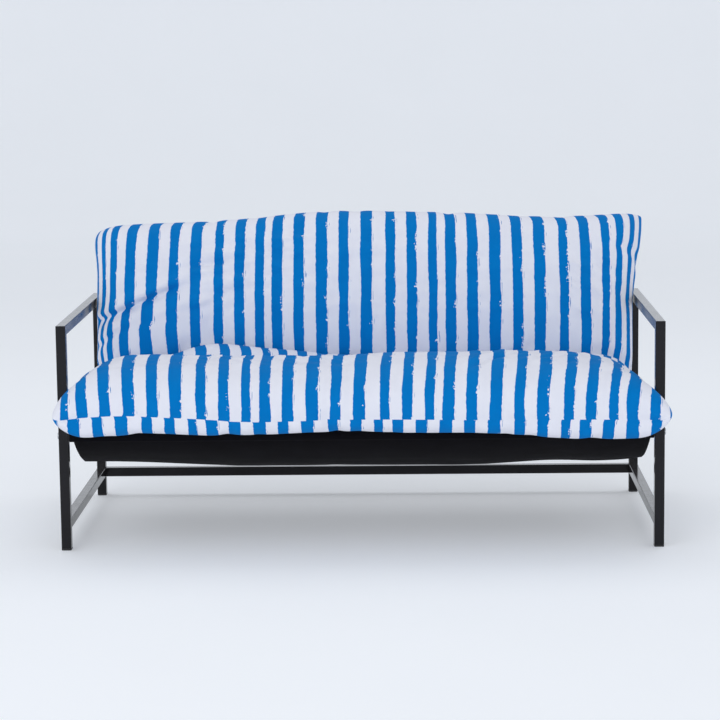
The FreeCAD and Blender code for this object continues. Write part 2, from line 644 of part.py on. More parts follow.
def seat_half():
    """Lies in the sling, rolls over the front rail and stops at the fold."""
    fold = math.radians(180 - FOLD + FOLD_CLEAR)
    crease = (PIVOT_Y + CREASE_R * math.cos(fold), PIVOT_Z + CREASE_R * math.sin(fold))
    rest = SEAT_RAIL_TOP + CLOTH_GAP + CLOTH + MATTRESS_CLEAR
    heel = (PIVOT_Y + (rest - PIVOT_Z) / math.tan(fold), rest)
    lie = belly_arc(BELLY_R - CLOTH / 2 - MATTRESS_CLEAR, rest)
    drop_y, drop_z = -CLOTH - CLOTH_GAP - MATTRESS_CLEAR, LIP_BOTTOM[1] - 1
    top = [V(0, *p) for p in (ROLL_END, crease, heel)] + [lie.Vertexes[1].Point]
    under = [lie.Vertexes[0].Point, V(0, drop_y, rest), V(0, drop_y, drop_z), V(0, *LIP_BOTTOM)]
    edges = arcs_through(FRONT_ROLL) + [lie]
    for run in (top, under):
        edges += [segment(a, b) for a, b in zip(run, run[1:])]
    low, high = (-FAR, 0), (-MATTRESS_CLEAR, FAR)
    soft_half("seat", edges, MATTRESS_LIP_HALF, low, high, lambda shape: shape)


def back_half():
    """Lies on the back sling from the fold to the rounded top end. Drawn flat, then raised."""

    def at(s, t):
        return (PIVOT_Y + s, PIVOT_Z + t)

    fold = math.radians(FOLD + FOLD_CLEAR)
    crease = at(CREASE_R * math.cos(fold), CREASE_R * math.sin(fold))
    rest = TUBE / 2 + CLOTH_GAP + CLOTH + MATTRESS_CLEAR
    heel = at(rest / math.tan(fold), rest)
    lift_off = at(BACK_LENGTH + 20, rest)  # where the round end leaves the back sling
    face = [crease, at(220, BACK_THICK), at(400, BACK_THICK - 4)]
    end = [at(BACK_TOP - 18, 150), at(BACK_TOP, 100), at(BACK_TOP - 10, 45), lift_off]
    edges = arcs_through(face + end)
    edges += [segment(V(0, *a), V(0, *b)) for a, b in ((lift_off, heel), (heel, crease))]
    low, high = (PIVOT_Y + SHOULDER_FROM, 0), (PIVOT_Y + FAR, FAR)
    soft_half("back", edges, MATTRESS_SHOULDER_HALF, low, high, raise_back)


# ---- build and write ----
def overall_box():
    whole = FreeCAD.BoundBox()
    for shape in PARTS.values():
        whole.add(shape.optimalBoundingBox(False))
    return whole


side_frames()
add_pair("front_foot", glide(0))
add_pair("rear_foot", glide(REAR_LEG_Y))
cross_rails()
hinge_fixed()
add_pair("clamp_knob", clamp_knob())
back_frame()
prop_bail()
seat_sling()
back_sling()
seat_half()
back_half()

extent = overall_box()
ORIGIN_Y = (extent.YMin + extent.YMax) / 2

os.makedirs("parts", exist_ok=True)
for name, shape in PARTS.items():
    placed = shape.copy()
    placed.translate(V(0, -ORIGIN_Y, 0))
    placed.exportStep(f"parts/{name}.step")
print(f"{len(PARTS)} parts, {extent.XLength:.1f} x {extent.YLength:.1f} x {extent.ZLength:.1f} mm")
print(f"height {extent.ZMax:.1f}, origin at y {ORIGIN_Y:.2f}, low point z {extent.ZMin:.2f}")
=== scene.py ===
import json
import math

import bpy
import numpy as np
from mathutils import Matrix, Vector, noise


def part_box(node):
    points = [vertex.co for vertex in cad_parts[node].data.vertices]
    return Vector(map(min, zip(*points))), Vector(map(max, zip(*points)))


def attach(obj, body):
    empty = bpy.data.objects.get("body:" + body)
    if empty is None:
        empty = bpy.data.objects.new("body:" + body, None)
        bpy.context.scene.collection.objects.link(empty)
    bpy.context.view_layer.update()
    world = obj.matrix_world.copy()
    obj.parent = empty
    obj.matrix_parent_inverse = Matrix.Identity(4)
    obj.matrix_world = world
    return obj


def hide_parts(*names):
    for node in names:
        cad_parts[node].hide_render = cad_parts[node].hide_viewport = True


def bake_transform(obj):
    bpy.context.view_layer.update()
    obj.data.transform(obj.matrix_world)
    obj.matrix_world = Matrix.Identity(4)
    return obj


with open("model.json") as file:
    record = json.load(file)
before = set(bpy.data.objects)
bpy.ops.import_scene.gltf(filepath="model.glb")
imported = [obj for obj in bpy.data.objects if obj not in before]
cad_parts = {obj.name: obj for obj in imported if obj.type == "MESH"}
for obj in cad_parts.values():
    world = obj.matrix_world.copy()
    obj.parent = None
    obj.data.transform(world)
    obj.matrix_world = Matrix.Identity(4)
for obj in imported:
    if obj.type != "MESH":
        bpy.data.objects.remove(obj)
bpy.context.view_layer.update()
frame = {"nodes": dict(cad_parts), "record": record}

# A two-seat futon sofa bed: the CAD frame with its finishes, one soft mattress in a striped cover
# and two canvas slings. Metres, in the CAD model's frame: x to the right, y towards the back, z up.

# ---- places taken from the frame ----
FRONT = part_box("left_front_leg")[0].y  # front faces of the front legs
RAIL_FRONT, RAIL_FRONT_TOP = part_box("front_seat_rail")
RAIL_REAR, RAIL_REAR_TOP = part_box("rear_seat_rail")
BOLT_LOW, BOLT_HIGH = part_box("left_pivot_bolt")
PIVOT = np.array([(BOLT_LOW.y + BOLT_HIGH.y) / 2, (BOLT_LOW.z + BOLT_HIGH.z) / 2])  # (y, z)
RAISED = math.radians(70.0)  # the back's angle above level at rest
UP_BACK = np.array([math.cos(RAISED), math.sin(RAISED)])  # (y, z) up the back frame
OFF_BACK = np.array([-math.sin(RAISED), math.cos(RAISED)])  # (y, z) out of its front face


# ---- curves ----
def spline(knots, values, at):
    """A natural cubic spline through values, one row per knot, read at the given places."""
    knots, values, at = (np.asarray(a, float) for a in (knots, values, at))
    count = len(knots)
    step = np.diff(knots)
    flat = values.reshape(count, -1)
    system, right = np.eye(count), np.zeros_like(flat)
    for k in range(1, count - 1):
        system[k, k - 1 : k + 2] = step[k - 1], 2 * (step[k - 1] + step[k]), step[k]
        slopes = (flat[k + 1] - flat[k]) / step[k], (flat[k] - flat[k - 1]) / step[k - 1]
        right[k] = 6 * (slopes[0] - slopes[1])
    bend = np.linalg.solve(system, right)
    i = np.clip(np.searchsorted(knots, at, side="right") - 1, 0, count - 2)
    h = step[i][:, None]
    b = ((at - knots[i]) / step[i])[:, None]
    a = 1 - b
    cubic = ((a**3 - a) * bend[i] + (b**3 - b) * bend[i + 1]) * h**2 / 6
    return (a * flat[i] + b * flat[i + 1] + cubic).reshape((len(at), *values.shape[1:]))


def along(points, at):
    """A smooth level through (place, value) points; flat beyond the first and the last."""
    places, values = np.array(points).T
    return spline(places, values, np.clip(at, places[0], places[-1]).ravel()).reshape(np.shape(at))


def smooth_step(a, b, at):
    """0 at a and 1 at b, eased at both; a may be the greater."""
    t = np.clip((at - a) / (b - a), 0, 1)
    return t * t * (3 - 2 * t)


# ---- how the mattress lies, across the sofa: (x, level) ----
SEAT_CREST = ((-0.78, 0.484), (-0.64, 0.486), (-0.52, 0.489), (-0.40, 0.485), (-0.25, 0.482),
              (-0.08, 0.480), (0.05, 0.489), (0.25, 0.491), (0.46, 0.489), (0.54, 0.485),
              (0.614, 0.474), (0.66, 0.466), (0.78, 0.464))
BACK_TOP = ((-0.78, 0.762), (-0.70, 0.775), (-0.62, 0.781), (-0.46, 0.785), (-0.28, 0.797),
            (-0.18, 0.807), (-0.02, 0.812), (0.16, 0.807), (0.32, 0.800), (0.43, 0.792),
            (0.60, 0.793), (0.70, 0.798), (0.78, 0.797))
FRONT_SEAM = ((-0.76, 0.352), (-0.70, 0.362), (-0.63, 0.367), (-0.50, 0.362), (-0.40, 0.356),
              (-0.30, 0.348), (-0.10, 0.350), (0.10, 0.351), (0.35, 0.348), (0.60, 0.348),
              (0.70, 0.345), (0.76, 0.341))
FRONT_LOW = ((-0.78, 0.307), (-0.70, 0.304), (-0.65, 0.306), (-0.58, 0.312), (-0.40, 0.309),
             (-0.15, 0.312), (-0.05, 0.316), (0.10, 0.311), (0.35, 0.305), (0.45, 0.296),
             (0.55, 0.292), (0.65, 0.294), (0.78, 0.300))
ROLL = ((-0.78, 0.425), (-0.58, 0.430), (-0.50, 0.448), (-0.43, 0.468), (-0.34, 0.468),
        (-0.22, 0.456), (-0.10, 0.443), (0.04, 0.434), (0.30, 0.432), (0.78, 0.430))
SLING_LOW = ((-0.74, 0.186), (-0.62, 0.185), (-0.46, 0.178), (-0.35, 0.173), (0.04, 0.171),
             (0.31, 0.171), (0.42, 0.177), (0.52, 0.181), (0.68, 0.180), (0.74, 0.188))

# ---- the seat sling's hung curve ----
CLOTH = 0.002  # canvas, sewn double
SLING_HALF = 0.742
SLING_TAPER = 0.012  # how much narrower it hangs at its lowest
SLING_REAR_HALF = 0.7335  # clear of the hinge plates
SLING_NARROWS = (FRONT + 0.15, FRONT + 0.4)  # y where it goes from one width to the other
SLING_CREASE = 0.0022
SLING_GAP = 0.0003  # canvas to rail
HANG_FRONT = RAIL_FRONT_TOP.y + SLING_GAP + CLOTH / 2
HANG_REAR = RAIL_REAR.y - SLING_GAP - CLOTH / 2
HANG_TOP = RAIL_FRONT_TOP.z - 0.006  # where it leaves the canvas sewn round the rails
HANG_SAG = 0.138  # of the circle that the curve is taken from


def hang_shape(y):
    """0 at the rails and 1 at the lowest point, on a circle."""
    half = (HANG_REAR - HANG_FRONT) / 2
    radius = (half**2 + HANG_SAG**2) / (2 * HANG_SAG)
    off = np.clip(y - (HANG_FRONT + HANG_REAR) / 2, -half, half)
    return (np.sqrt(radius**2 - off**2) - (radius - HANG_SAG)) / HANG_SAG


def hang_level(x, y):
    """The level of the middle of the canvas's thickness."""
    return HANG_TOP - (HANG_TOP - along(SLING_LOW, x)) * hang_shape(y)


# ---- finishes ----
class Finish:
    """One material and short calls for its nodes."""

    def __init__(self, name, color, roughness, **sockets):
        self.material = bpy.data.materials.new(name)
        self.material.use_nodes = True
        self.tree = self.material.node_tree
        self.shader = self.tree.nodes["Principled BSDF"]
        self.shader.inputs["Base Color"].default_value = (*color, 1)
        self.shader.inputs["Roughness"].default_value = roughness
        for socket, value in sockets.items():
            self.shader.inputs[socket.replace("_", " ")].default_value = value

    def add(self, kind, inputs=None, **settings):
        node = self.tree.nodes.new("ShaderNode" + kind)
        for key, value in settings.items():
            setattr(node, key, value)
        for socket, value in (inputs or {}).items():
            if isinstance(value, bpy.types.NodeSocket):
                self.tree.links.new(value, node.inputs[socket])
            else:
                node.inputs[socket].default_value = value
        return node

    def link(self, output, socket):
        self.tree.links.new(output, self.shader.inputs[socket])

    def math(self, operation, a, b=0.0, c=0.0):
        inputs = {0: a, 1: b, 2: c}
        return self.add("Math", inputs, operation=operation).outputs[0]

    def place(self):
        return self.add("TexCoord").outputs["Object"]

    def noise(self, vector, scale, detail=2.0, stretch=(1, 1, 1), shift=(0, 0, 0)):
        moved = self.add("Mapping", {"Vector": vector, "Scale": stretch, "Location": shift})
        inputs = {"Vector": moved.outputs[0], "Scale": scale, "Detail": detail}
        return self.add("TexNoise", inputs).outputs["Fac"]

    def spread(self, factor, low, high, start, end):
        """Moves a factor's low..high onto start..end."""
        inputs = {0: factor, 1: low, 2: high, 3: start, 4: end}
        return self.add("MapRange", inputs).outputs[0]

    def blend(self, factor, first, second):
        """From one colour to another; a colour is a node's output or three numbers."""
        ends = [c if isinstance(c, bpy.types.NodeSocket) else (*c, 1) for c in (first, second)]
        inputs = {"Factor": factor, 6: ends[0], 7: ends[1]}
        return self.add("Mix", inputs, data_type="RGBA").outputs[2]

    def tint(self, factor, first, second):
        self.link(self.blend(factor, first, second), "Base Color")

    def gloss(self, factor, low, high):
        """Roughness between two values as a noise goes from 0.3 to 0.7."""
        self.link(self.spread(factor, 0.3, 0.7, low, high), "Roughness")

    def bump(self, height, distance, strength, onto=None):
        inputs = {"Height": height, "Distance": distance, "Strength": strength}
        if onto is not None:
            inputs["Normal"] = onto
        normal = self.add("Bump", inputs).outputs[0]
        self.link(normal, "Normal")
        return normal


def srgb(*values):
    """Linear colour of 0..255 display values."""
    parts = [v / 255 for v in values]
    return tuple(p / 12.92 if p < 0.04045 else ((p + 0.055) / 1.055) ** 2.4 for p in parts)


def powder_coat():
    """Smooth satin black, a little thinner and duller in places."""
    f = Finish("black_powder_coat", srgb(20, 18, 24), 0.3, Specular_IOR_Level=0.28)
    place = f.place()
    grain = f.noise(place, 1800.0, 3.0)
    f.bump(grain, 0.00004, 0.15)
    wear = f.noise(place, 9.0, 5.0)
    f.tint(f.spread(wear, 0.35, 0.7, 0.0, 1.0), srgb(12, 11, 15), srgb(20, 18, 24))
    f.gloss(f.noise(place, 60.0, 3.0), 0.12, 0.17)
    return f.material


def zinc():
    """Bright plating with faint drawn lines."""
    f = Finish("zinc_plate", srgb(176, 180, 184), 0.32, Metallic=1.0)
    place = f.place()
    brushed = f.noise(place, 900.0, 2.0, stretch=(1, 1, 0.15))
    f.bump(brushed, 0.00004, 0.4)
    f.tint(f.noise(place, 120.0, 4.0), srgb(158, 163, 168), srgb(196, 198, 200))
    f.gloss(f.noise(place, 260.0, 3.0), 0.24, 0.42)
    return f.material


def moulded(name, dark, light, roughness, grain_scale):
    """Plastic, rubber or fibre with a fine grain."""
    f = Finish(name, srgb(*dark), roughness)
    place = f.place()
    f.bump(f.noise(place, grain_scale, 2.0), 0.00008, 0.5)
    f.tint(f.noise(place, 70.0, 4.0), srgb(*dark), srgb(*light))
    f.gloss(f.noise(place, 150.0), roughness - 0.06, roughness + 0.08)
    return f.material


def canvas():
    """Black cotton canvas: a plain weave of crossed threads, with dust-grey variation."""
    f = Finish("black_canvas", srgb(15, 14, 18), 0.9, Specular_IOR_Level=0.06, Sheen_Weight=0.02)
    place = f.place()
    ridges = []
    for axis in ("X", "Y"):
        wave = {"Vector": place, "Scale": 260.0, "Distortion": 0.6, "Detail": 1.0}
        ridges.append(f.add("TexWave", wave, bands_direction=axis).outputs["Fac"])
    weave = f.math("MAXIMUM", *ridges)
    first = f.bump(weave, 0.0003, 0.5)
    f.bump(f.noise(place, 26.0, 4.0), 0.0015, 0.5, onto=first)
    f.tint(f.noise(place, 14.0, 6.0), srgb(8, 7, 10), srgb(18, 17, 22))
    return f.material


STRIPES = ((0.030, 0.031), (0.031, 0.032), (0.029, 0.032), (0.031, 0.038),
           (0.026, 0.033), (0.027, 0.032), (0.025, 0.023), (0.029, 0.031))  # blue, then white
FIRST_STRIPE = -0.194  # left edge of the first
EDGE_DRIFT, EDGE_FRAY = 0.0085, 0.0040  # how far an edge wanders, broadly and finely
BITE_DEPTH, SLIVER_REACH = 0.008, 0.0060  # bites out of the paint, slivers of paint beyond it
BLUE_DARK, BLUE_LIGHT = srgb(0, 110, 186), srgb(0, 124, 200)
WHITE_DARK, WHITE_LIGHT = srgb(224, 225, 236), srgb(236, 237, 245)


def print_ramp(f, across):
    """1 on a painted stripe and 0 between, for a place across the cloth."""
    repeat = sum(blue + white for blue, white in STRIPES)
    before = 4 - FIRST_STRIPE / repeat  # whole repeats added, so that no place is below 0
    turn = f.math("FRACT", f.math("MULTIPLY_ADD", across, 1 / repeat, before))
    ramp = f.add("ValToRGB", {"Fac": turn})
    ramp.color_ramp.interpolation = "CONSTANT"
    ramp.color_ramp.elements.remove(ramp.color_ramp.elements[1])
    ramp.color_ramp.elements[0].color = (1, 1, 1, 1)
    edge = 0.0
    for blue, white in STRIPES:
        if edge:
            ramp.color_ramp.elements.new(edge / repeat).color = (1, 1, 1, 1)
        ramp.color_ramp.elements.new((edge + blue) / repeat).color = (0, 0, 0, 1)
        edge += blue + white
    return ramp.outputs[0]


def striped():
    """Brushed fabric printed with hand-painted stripes whose edges wander and break up.

    The UV map is the cloth laid flat, in metres: u across the stripes and v along them."""
    f = Finish("striped_cover", WHITE_LIGHT, 0.9, Specular_IOR_Level=0.04, Sheen_Weight=0.02)
    f.shader.inputs["Sheen Roughness"].default_value = 0.6
    cloth = f.add("UVMap", uv_map="cloth").outputs[0]
    u = f.add("SeparateXYZ", {0: cloth}).outputs[0]
    wander = f.noise(cloth, 1.0, 1.0, stretch=(38, 9, 1))
    ragged = f.noise(cloth, 1.0, 3.0, stretch=(150, 90, 1), shift=(3, 7, 0))
    patch = f.noise(cloth, 1.0, 2.0, stretch=(45, 30, 1), shift=(5, 19, 0))
    bite = f.noise(cloth, 1.0, 3.0, stretch=(260, 160, 1), shift=(9, 4, 0))
    streak = f.noise(cloth, 1.0, 1.5, stretch=(380, 20, 1), shift=(11, 2, 0))
    drift = f.math("MULTIPLY", f.math("SUBTRACT", wander, 0.5), EDGE_DRIFT)
    fray = f.math("MULTIPLY", f.math("SUBTRACT", ragged, 0.5), EDGE_FRAY)
    edge = f.math("ADD", u, f.math("ADD", drift, fray))
    worn = f.spread(patch, 0.56, 0.66, 0.0, 1.0)
    torn = f.spread(bite, 0.46, 0.62, 0.0, BITE_DEPTH)
    bites = f.math("MULTIPLY", worn, torn)
    slivers = f.math("MULTIPLY", f.math("GREATER_THAN", streak, 0.66), -SLIVER_REACH)
    painted = print_ramp(f, edge)
    bitten = print_ramp(f, f.math("ADD", edge, bites))
    beyond = f.math("SUBTRACT", print_ramp(f, f.math("ADD", edge, slivers)), painted)
    mask = f.math("MAXIMUM", f.math("MINIMUM", painted, bitten), beyond)
    soft = f.noise(cloth, 1.0, 5.0, stretch=(26, 12, 1), shift=(1, 31, 0))
    ink = f.blend(soft, BLUE_DARK, BLUE_LIGHT)
    ground = f.blend(soft, WHITE_DARK, WHITE_LIGHT)
    f.tint(mask, ground, ink)
    pile = f.noise(cloth, 1.0, 2.0, stretch=(1500, 900, 1))
    first = f.bump(pile, 0.0002, 0.35)
    f.bump(f.noise(cloth, 1.0, 3.0, stretch=(70, 60, 1)), 0.0010, 0.35, onto=first)
    return f.material


# ---- mattress ----
PITCH = 0.0135  # grid pitch before it is subdivided
LIE = 0.004  # mattress to the seat sling
BACK_LIE = 0.019  # its rear face, in front of the back frame's middle

HEIGHTS = {"crest": SEAT_CREST, "top": BACK_TOP, "seam": FRONT_SEAM, "low": FRONT_LOW,
           "roll": ROLL}


def back_point(s, t=BACK_LIE):
    """(y, z), s up the back frame from its pivot and t out of its front."""
    return PIVOT + s * UP_BACK + t * OFF_BACK


# The mattress's section, from its front seam round to its top end. One stop is a pair of points,
# on the top panel and on the bottom panel under it. Each is (y from the front legs, z, which
# height it follows, how much of that height's change it takes). Where y is "back", z is how far up
# the back frame it lies, and where z is "hang", it lies on the seat sling.
STOPS = (
    ((-0.095, 0.350, "seam", 1.0), (-0.095, 0.350, "seam", 1.0)),
    ((-0.111, 0.384, "seam", 0.5), (-0.100, 0.326, "low", 0.8)),
    ((-0.106, 0.428, "crest", 0.4), (-0.078, 0.307, "low", 1.0)),
    ((-0.074, 0.464, "crest", 0.8), (-0.048, 0.305, "low", 0.9)),
    ((-0.014, 0.486, "crest", 1.0), (-0.012, 0.317, None, 0.0)),
    ((0.060, 0.492, "crest", 1.0), (0.031, "hang", None, 0.0)),
    ((0.125, 0.491, "crest", 1.0), (0.095, "hang", None, 0.0)),
    ((0.205, 0.474, "crest", 0.7), (0.180, "hang", None, 0.0)),
    ((0.300, 0.446, "crest", 0.4), (0.290, "hang", None, 0.0)),
    ((0.395, 0.424, "roll", 0.2), (0.410, "hang", None, 0.0)),
    ((0.462, 0.430, "roll", 1.0), (0.505, "hang", None, 0.0)),
    ((0.510, 0.398, "roll", 0.8), (0.556, 0.3165, None, 0.0)),
    ((0.504, 0.446, "roll", 0.4), ("back", 0.048, None, 0.0)),
    ((0.497, 0.520, None, 0.0), ("back", 0.130, None, 0.0)),
    ((0.506, 0.600, None, 0.0), ("back", 0.220, None, 0.0)),
    ((0.532, 0.680, "top", 0.3), ("back", 0.310, None, 0.0)),
    ((0.564, 0.742, "top", 0.7), ("back", 0.385, None, 0.0)),
    ((0.598, 0.786, "top", 0.9), ("back", 0.440, "top", 0.2)),
    ((0.630, 0.8045, "top", 1.0), (0.748, 0.752, "top", 0.6)),
    ((0.664, 0.8070, "top", 1.0), (0.746, 0.778, "top", 0.9)),
    ((0.722, 0.794, "top", 1.0), (0.722, 0.794, "top", 1.0)),
)
BASE_HEIGHT = {"crest": 0.492, "top": 0.807, "seam": 0.350, "low": 0.305, "roll": 0.430}
ROWS = (3, 4, 4, 4, 5, 5, 5, 6, 7, 6, 5, 5, 5, 6, 6, 6, 5, 4, 3, 5)  # between the stops

# Half-widths at each stop, left and right.
LEFT = (0.738, 0.762, 0.770, 0.764, 0.742, 0.740, 0.740, 0.740, 0.740, 0.740, 0.740, 0.740,
        0.740, 0.740, 0.741, 0.742, 0.748, 0.752, 0.748, 0.738, 0.712)
RIGHT = (0.752, 0.770, 0.778, 0.768, 0.742, 0.740, 0.740, 0.740, 0.740, 0.740, 0.740, 0.740,
         0.740, 0.741, 0.742, 0.752, 0.764, 0.772, 0.775, 0.774, 0.756)


def panel_curve(side, x):
    """The stops of one panel at each x: (stop, x, (y, z))."""
    rows = []
    for stop in STOPS:
        y, z, height, share = stop[side]
        if y == "back":
            y, z = back_point(z)
            y = np.full_like(x, y)
        else:
            y = np.full_like(x, y + FRONT)
        if z == "hang":
            z = hang_level(x, y) + CLOTH / 2 + LIE
        z = np.broadcast_to(z, x.shape).astype(float)
        if height:
            z = z + share * (along(HEIGHTS[height], x) - BASE_HEIGHT[height])
        rows.append(np.stack([y, z], -1))
    return np.array(rows)


def row_places():
    """Where each row lies among the stops, from 0 to the last stop."""
    places = [0.0]
    for k, count in enumerate(ROWS):
        places += [k + (i + 1) / count for i in range(count)]
    return np.array(places)


def end_columns(reach, count):
    """Distances from an end, close together at the end itself."""
    return [reach * (1 - math.cos(math.pi / 2 * i / count)) for i in range(count)]


TURN = 0.146  # how far in the seat's top turns down towards its left end seam
TURN_RIGHT = 0.112
BACK_TURN = 0.075
LIP_TURN, UNDER_TURN = 0.085, 0.060  # bottom panel: at the front lip, and elsewhere
SEAT_POWER, OTHER_POWER = 0.64, 0.55  # how round each turns down
SEAT_ENDS = (9.5, 12.5)  # stops between which the seat becomes the back
LIP_ENDS = (3.0, 5.0)
END_COLUMNS = 12


def column_shares():
    """Columns from the left end to the right: (side, share of the middle, distance from the end)."""
    middle = max(LEFT) - TURN
    count = round(middle / PITCH)
    half = [(i / count, TURN) for i in range(count + 1)]
    half += [(1.0, e) for e in reversed(end_columns(TURN, END_COLUMNS))]
    left = [(-1, share, e) for share, e in reversed(half[1:])]
    return left + [(1, share, e) for share, e in half]


def grid_x(left, right):
    """x of each column in a row of those half-widths."""
    out = []
    for side, share, e in column_shares():
        half = left if side < 0 else right
        out.append(side * share * (half - TURN) if share < 1 else side * (half - e))
    return np.array(out)


def turn_down(distance, reach, power):
    """0 at an end, where the panels meet, to 1 at that reach from it."""
    d = np.clip(distance / reach, 0, 1)
    return (1 - (1 - d) ** 2) ** power


def mattress_grid():
    """Both panels' points, each (row, column, (x, y, z)), meeting at their edges."""
    places = row_places()
    knots = np.arange(len(STOPS))
    left, right = spline(knots, LEFT, places), spline(knots, RIGHT, places)
    x = np.array([grid_x(a, b) for a, b in zip(left, right)])
    from_end = np.where(x < 0, x + left[:, None], right[:, None] - x)
    middle_row = x[len(places) // 2]
    panels = [spline(knots, panel_curve(side, middle_row), places) for side in (0, 1)]
    middle = (panels[0] + panels[1]) / 2

    seat = 1 - smooth_step(*SEAT_ENDS, places)[:, None]
    lip = 1 - smooth_step(*LIP_ENDS, places)[:, None]
    top_reach = seat * np.where(x < 0, TURN, TURN_RIGHT) + (1 - seat) * BACK_TURN
    top_power = seat * SEAT_POWER + (1 - seat) * OTHER_POWER
    bottom_reach = lip * LIP_TURN + (1 - lip) * UNDER_TURN
    out = []
    for panel, reach, power in zip(panels, (top_reach, bottom_reach), (top_power, OTHER_POWER)):
        yz = middle + (panel - middle) * turn_down(from_end, reach, power)[..., None]
        out.append(np.concatenate([x[..., None], yz], -1))
    out[1][0], out[1][-1] = out[0][0], out[0][-1]
    return out, places


def arc_lengths(panel):
    """(u, v) of each grid point on the cloth laid flat: u from the middle column, v from row 0."""
    across = np.linalg.norm(np.diff(panel, axis=1), axis=2)
    down = np.linalg.norm(np.diff(panel, axis=0), axis=2)
    u = np.concatenate([np.zeros((len(panel), 1)), np.cumsum(across, 1)], 1)
    centre = int(np.argmin(np.abs(panel[0, :, 0])))
    u -= u[:, centre : centre + 1]
    v = np.concatenate([np.zeros((1, panel.shape[1])), np.cumsum(down, 0)], 0)
    return u, v


BACK_GATHER = 0.05  # cloth taken up in small puckers towards each side of the back
GATHER_INSET = 0.11
ROLL_SHIFT = 0.028  # how far the roll at the fold carries the print sideways
BOTTOM_SHIFT, BOTTOM_STRETCH = 0.143, 1.03  # bottom panel's print, cut from another place
BOTTOM_FROM = 3.0  # its length on the cloth starts past the top panel's


def cloth_map(panels, places):
    """The cloth's own coordinates on both panels. Each panel is cut and gathered on its own.

    On the top panel the print is drawn out by a few hundredths of its distance from the middle,
    by different shares on the front lip, the seat, the back and the rear edge."""
    u, v = arc_lengths(panels[0])
    x = panels[0][..., 0]
    row = places[:, None]
    seat = 1 - smooth_step(8.0, 12.0, row)
    front = 1 - smooth_step(1.0, 6.0, row)
    back = 1 - seat
    rear = smooth_step(17.0, 20.0, row)
    u = u + seat * (0.004 + 0.014 * x) + front * (0.005 + 0.035 * x)
    u = u + back * (0.012 * np.minimum(x, 0) + 0.030 * np.minimum(x + 0.25, 0))
    u = u + back * 0.014 * np.maximum(x - 0.1, 0)
    u = u + rear * 0.025 * x
    inset = np.where(x < 0, x - x[:, :1], x[:, -1:] - x)
    gathered = (1 - np.clip(inset / GATHER_INSET, 0, 1)) ** 2
    u = u + np.sign(x) * back * BACK_GATHER * gathered
    rolled = smooth_step(-0.62, -0.50, x) * (1 - smooth_step(-0.28, -0.05, x))
    rolled = rolled * smooth_step(10.9, 9.2, row) * smooth_step(8.0, 9.2, row)
    u = u - ROLL_SHIFT * rolled
    bottom_u, bottom_v = arc_lengths(panels[1])
    return [(u, v), (BOTTOM_SHIFT + BOTTOM_STRETCH * bottom_u, BOTTOM_FROM + bottom_v)]


def mattress_mesh(panels, places):
    """One closed mesh of both panels, which share the points of their edges."""
    rows, columns = panels[0].shape[:2]
    upper = np.arange(rows * columns).reshape(rows, columns)
    lower = upper.copy()
    within_edges = np.arange((rows - 2) * (columns - 2)).reshape(rows - 2, columns - 2)
    lower[1:-1, 1:-1] = rows * columns + within_edges
    points = np.concatenate([panels[0].reshape(-1, 3), panels[1][1:-1, 1:-1].reshape(-1, 3)])
    faces, corners = [], []
    for side, (ids, (u, v)) in enumerate(zip((upper, lower), cloth_map(panels, places))):
        flat = np.stack([u, v], -1)
        for i in range(rows - 1):
            for j in range(columns - 1):
                loop = [(i, j), (i, j + 1), (i + 1, j + 1), (i + 1, j)]
                if side:
                    loop.reverse()
                faces.append([int(ids[c]) for c in loop])
                corners += [flat[c] for c in loop]
    mesh = bpy.data.meshes.new("mattress")
    mesh.from_pydata(points.tolist(), [], faces)
    layer = mesh.uv_layers.new(name="cloth")
    layer.data.foreach_set("uv", np.array(corners, np.float32).ravel())
    mesh.polygons.foreach_set("use_smooth", np.ones(len(faces), bool))
    return mesh


def apply_modifiers(obj):
    evaluated = obj.evaluated_get(bpy.context.evaluated_depsgraph_get())
    mesh = bpy.data.meshes.new_from_object(evaluated)
    obj.modifiers.clear()
    obj.data = mesh


def vertex_array(mesh):
    """(vertex, (x, y, z))."""
    co = np.zeros(len(mesh.vertices) * 3)
    mesh.vertices.foreach_get("co", co)
    return co.reshape(-1, 3)


def new_object(name, mesh, material):
    obj = bpy.data.objects.new(name, mesh)
    bpy.context.scene.collection.objects.link(obj)
    mesh.materials.clear()
    mesh.materials.append(material)
    return obj


# A crease pressed into the back's front face: (x, level) along it, its depth, how far it reaches
# above and below its bottom, and how far to the left the print stands below it.
CREASES = (
    (((-0.76, 0.510), (-0.717, 0.532), (-0.675, 0.551), (-0.619, 0.577), (-0.55, 0.606),
      (-0.50, 0.622), (-0.44, 0.634)), 0.020, 0.007, 0.016, 0.015),
    (((-0.77, 0.440), (-0.735, 0.456), (-0.69, 0.488), (-0.60, 0.522)),
     0.009, 0.006, 0.011, 0.006),
    (((-0.55, 0.668), (-0.46, 0.672), (-0.38, 0.686), (-0.30, 0.694)),
     0.0045, 0.007, 0.010, 0.0),
    (((-0.50, 0.640), (-0.42, 0.650), (-0.33, 0.664), (-0.26, 0.668)),
     0.0048, 0.007, 0.010, 0.0),
    (((-0.45, 0.596), (-0.38, 0.606), (-0.30, 0.624), (-0.22, 0.630)),
     0.0036, 0.008, 0.012, 0.0),
)
GATHER = 0.6  # share of the cloth beside the deepest crease that is drawn into it
GATHER_REACH = 0.034
BULGE = 0.42  # of the cloth above a crease, as a share of its depth
BULGE_AT, BULGE_WIDTH = 2.4, 2.0  # times the crease's reach above its bottom
CREASE_END = 0.12  # over which a crease dies out at its right end

